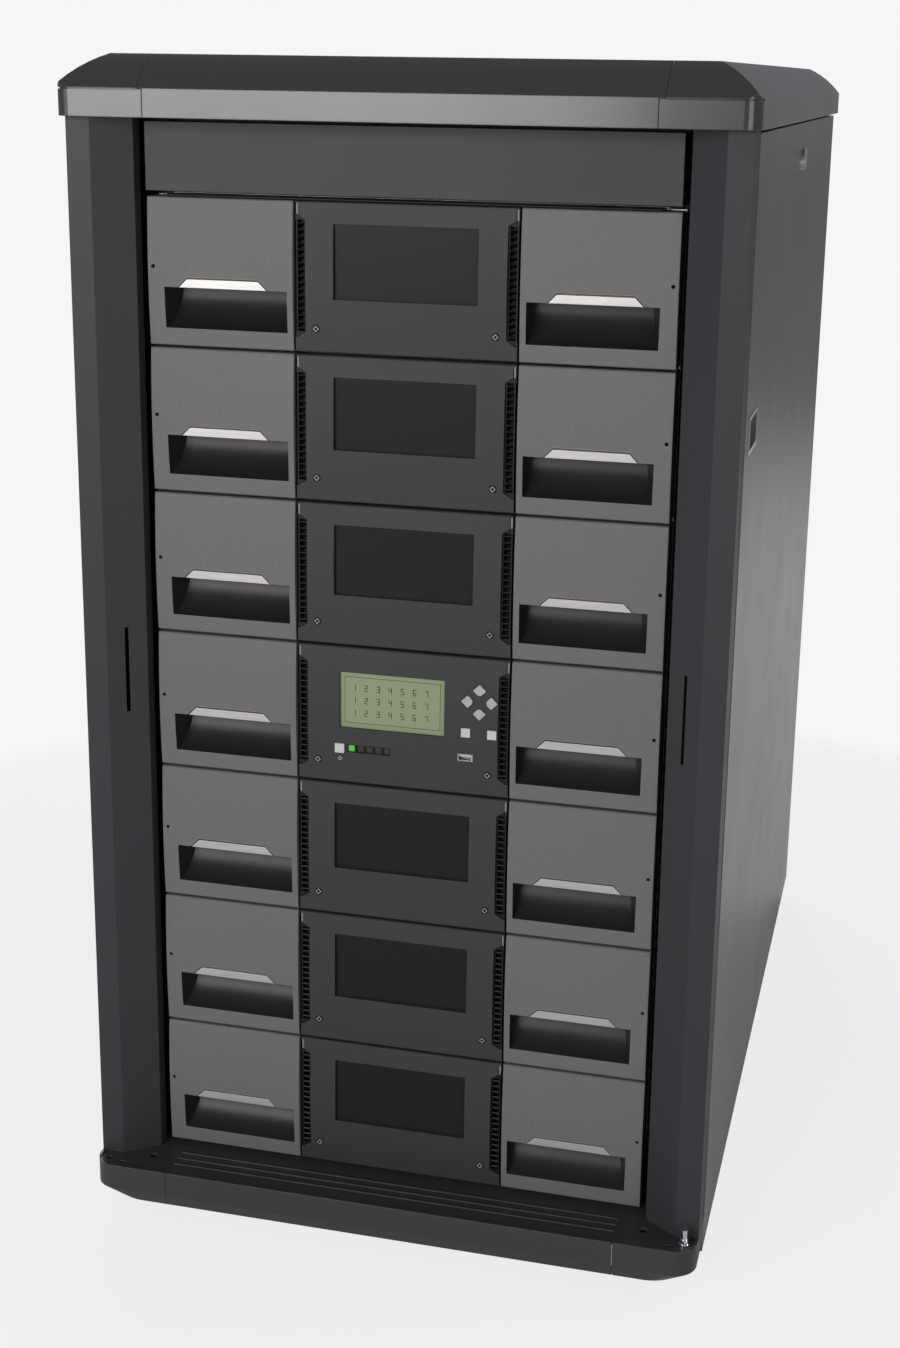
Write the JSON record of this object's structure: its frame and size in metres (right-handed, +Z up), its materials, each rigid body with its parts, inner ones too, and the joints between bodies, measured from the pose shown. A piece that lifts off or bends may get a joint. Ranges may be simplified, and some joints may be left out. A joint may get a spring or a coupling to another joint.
{
  "type": "data tape library",
  "caption": "Stack of tape library modules with pull-out cartridge magazines, control panel and picker robot in a low floor cabinet with rounded cap and plinth, front door off.",
  "frame": {"origin": "on the floor under the middle of the overall box", "axes": "+Z up, -Y out of the front, +X to the right seen from the front"},
  "size_m": [0.606, 0.997, 1.1144],
  "materials": {
    "frame_paint": "fine-textured dark bluish charcoal powder coat",
    "trim_plastic": "semi-gloss charcoal moulding",
    "panel_paint": "satin charcoal powder coat",
    "chrome_plate": "bright plated",
    "rail_paint": "satin near-black navy paint",
    "header_plastic": "fine matte charcoal",
    "pin_steel": "bright turned steel",
    "foot_steel": "zinc-plated steel",
    "chassis_steel": "plain galvanised sheet",
    "bezel_plastic": "fine-textured warm charcoal moulding with a brushed silver insert",
    "tray_plastic": "black moulding",
    "vent_plastic": "black moulding",
    "window_plastic": "smooth near-black",
    "display_glass": "grey-green passive display behind a clear cover",
    "board": "green circuit board with black and clear parts",
    "drive_steel": "plain zinc-plated sheet",
    "robot_alu": "plain anodised",
    "key_plastic": "light grey moulding"
  },
  "bodies": {
    "library": {"cabinet_frame": "frame_paint", "plinth_trim": "trim_plastic", "cap_trim": "trim_plastic", "top_panel": "panel_paint", "side_panel_left": "panel_paint", "side_panel_right": "panel_paint", "panel_hardware": "chrome_plate", "rack_rails": "rail_paint", "header_panel": "header_plastic", "door_hinge_pin": "pin_steel", "levelling_feet": "foot_steel", "module_chassis": "chassis_steel", "centre_bezels": "bezel_plastic", "control_bezel": "bezel_plastic", "vent_grilles": "vent_plastic", "blank_windows": "window_plastic", "lcd_display": "display_glass", "control_board": "board", "tape_drives": "drive_steel", "power_supplies": "drive_steel"},
    "magazine_left_1": {"magazine_tray_left_1": "tray_plastic", "magazine_bezel_left_1": "bezel_plastic"},
    "magazine_left_2": {"magazine_tray_left_2": "tray_plastic", "magazine_bezel_left_2": "bezel_plastic"},
    "magazine_left_3": {"magazine_tray_left_3": "tray_plastic", "magazine_bezel_left_3": "bezel_plastic"},
    "magazine_left_4": {"magazine_tray_left_4": "tray_plastic", "magazine_bezel_left_4": "bezel_plastic"},
    "magazine_left_5": {"magazine_tray_left_5": "tray_plastic", "magazine_bezel_left_5": "bezel_plastic"},
    "magazine_left_6": {"magazine_tray_left_6": "tray_plastic", "magazine_bezel_left_6": "bezel_plastic"},
    "magazine_left_7": {"magazine_tray_left_7": "tray_plastic", "magazine_bezel_left_7": "bezel_plastic"},
    "magazine_right_1": {"magazine_tray_right_1": "tray_plastic", "magazine_bezel_right_1": "bezel_plastic"},
    "magazine_right_2": {"magazine_tray_right_2": "tray_plastic", "magazine_bezel_right_2": "bezel_plastic"},
    "magazine_right_3": {"magazine_tray_right_3": "tray_plastic", "magazine_bezel_right_3": "bezel_plastic"},
    "magazine_right_4": {"magazine_tray_right_4": "tray_plastic", "magazine_bezel_right_4": "bezel_plastic"},
    "magazine_right_5": {"magazine_tray_right_5": "tray_plastic", "magazine_bezel_right_5": "bezel_plastic"},
    "magazine_right_6": {"magazine_tray_right_6": "tray_plastic", "magazine_bezel_right_6": "bezel_plastic"},
    "magazine_right_7": {"magazine_tray_right_7": "tray_plastic", "magazine_bezel_right_7": "bezel_plastic"},
    "key_up_cap": {"key_up": "key_plastic"},
    "key_down_cap": {"key_down": "key_plastic"},
    "key_left_cap": {"key_left": "key_plastic"},
    "key_right_cap": {"key_right": "key_plastic"},
    "key_back_cap": {"key_back": "key_plastic"},
    "key_select_cap": {"key_select": "key_plastic"},
    "power_button_cap": {"power_button": "key_plastic"},
    "side_lock_left": {"latch_left": "chrome_plate"},
    "side_lock_right": {"latch_right": "chrome_plate"},
    "lift": {"robot_lift": "robot_alu"},
    "shuttle": {"robot_shuttle": "tray_plastic"},
    "gripper": {"robot_gripper": "robot_alu"}
  },
  "joints": [
    {"name": "magazine_left_1_pull", "type": "slide", "parent": "library", "child": "magazine_left_1", "axis": [0, -1, 0], "range_m": [0, 0.5]},
    {"name": "magazine_left_2_pull", "type": "slide", "parent": "library", "child": "magazine_left_2", "axis": [0, -1, 0], "range_m": [0, 0.5]},
    {"name": "magazine_left_3_pull", "type": "slide", "parent": "library", "child": "magazine_left_3", "axis": [0, -1, 0], "range_m": [0, 0.5]},
    {"name": "magazine_left_4_pull", "type": "slide", "parent": "library", "child": "magazine_left_4", "axis": [0, -1, 0], "range_m": [0, 0.5]},
    {"name": "magazine_left_5_pull", "type": "slide", "parent": "library", "child": "magazine_left_5", "axis": [0, -1, 0], "range_m": [0, 0.5]},
    {"name": "magazine_left_6_pull", "type": "slide", "parent": "library", "child": "magazine_left_6", "axis": [0, -1, 0], "range_m": [0, 0.5]},
    {"name": "magazine_left_7_pull", "type": "slide", "parent": "library", "child": "magazine_left_7", "axis": [0, -1, 0], "range_m": [0, 0.5]},
    {"name": "magazine_right_1_pull", "type": "slide", "parent": "library", "child": "magazine_right_1", "axis": [0, -1, 0], "range_m": [0, 0.5]},
    {"name": "magazine_right_2_pull", "type": "slide", "parent": "library", "child": "magazine_right_2", "axis": [0, -1, 0], "range_m": [0, 0.5]},
    {"name": "magazine_right_3_pull", "type": "slide", "parent": "library", "child": "magazine_right_3", "axis": [0, -1, 0], "range_m": [0, 0.5]},
    {"name": "magazine_right_4_pull", "type": "slide", "parent": "library", "child": "magazine_right_4", "axis": [0, -1, 0], "range_m": [0, 0.5]},
    {"name": "magazine_right_5_pull", "type": "slide", "parent": "library", "child": "magazine_right_5", "axis": [0, -1, 0], "range_m": [0, 0.5]},
    {"name": "magazine_right_6_pull", "type": "slide", "parent": "library", "child": "magazine_right_6", "axis": [0, -1, 0], "range_m": [0, 0.5]},
    {"name": "magazine_right_7_pull", "type": "slide", "parent": "library", "child": "magazine_right_7", "axis": [0, -1, 0], "range_m": [0, 0.5]},
    {"name": "key_up_press", "type": "slide", "parent": "library", "child": "key_up_cap", "axis": [0, 1, 0], "range_m": [0, 0.001], "stiffness_N_per_m": 400},
    {"name": "key_down_press", "type": "slide", "parent": "library", "child": "key_down_cap", "axis": [0, 1, 0], "range_m": [0, 0.001], "stiffness_N_per_m": 400},
    {"name": "key_left_press", "type": "slide", "parent": "library", "child": "key_left_cap", "axis": [0, 1, 0], "range_m": [0, 0.001], "stiffness_N_per_m": 400},
    {"name": "key_right_press", "type": "slide", "parent": "library", "child": "key_right_cap", "axis": [0, 1, 0], "range_m": [0, 0.001], "stiffness_N_per_m": 400},
    {"name": "key_back_press", "type": "slide", "parent": "library", "child": "key_back_cap", "axis": [0, 1, 0], "range_m": [0, 0.001], "stiffness_N_per_m": 400},
    {"name": "key_select_press", "type": "slide", "parent": "library", "child": "key_select_cap", "axis": [0, 1, 0], "range_m": [0, 0.001], "stiffness_N_per_m": 400},
    {"name": "power_button_press", "type": "slide", "parent": "library", "child": "power_button_cap", "axis": [0, 1, 0], "range_m": [0, 0.001], "stiffness_N_per_m": 400},
    {"name": "side_lock_left_turn", "type": "hinge", "parent": "library", "child": "side_lock_left", "pos_m": [-0.298, 0.032, 1.02145], "axis": [1, 0, 0], "range_deg": [0, 90]},
    {"name": "side_lock_right_turn", "type": "hinge", "parent": "library", "child": "side_lock_right", "pos_m": [0.298, 0.032, 1.02145], "axis": [1, 0, 0], "range_deg": [0, 90]},
    {"name": "lift_travel", "type": "slide", "parent": "library", "child": "lift", "axis": [0, 0, 1], "range_m": [-0.4, 0.4]},
    {"name": "shuttle_travel", "type": "slide", "parent": "lift", "child": "shuttle", "axis": [0, 1, 0], "range_m": [-0.218, 0.218]},
    {"name": "gripper_reach", "type": "slide", "parent": "shuttle", "child": "gripper", "axis": [1, 0, 0], "range_m": [-0.03, 0.03]}
  ]
}
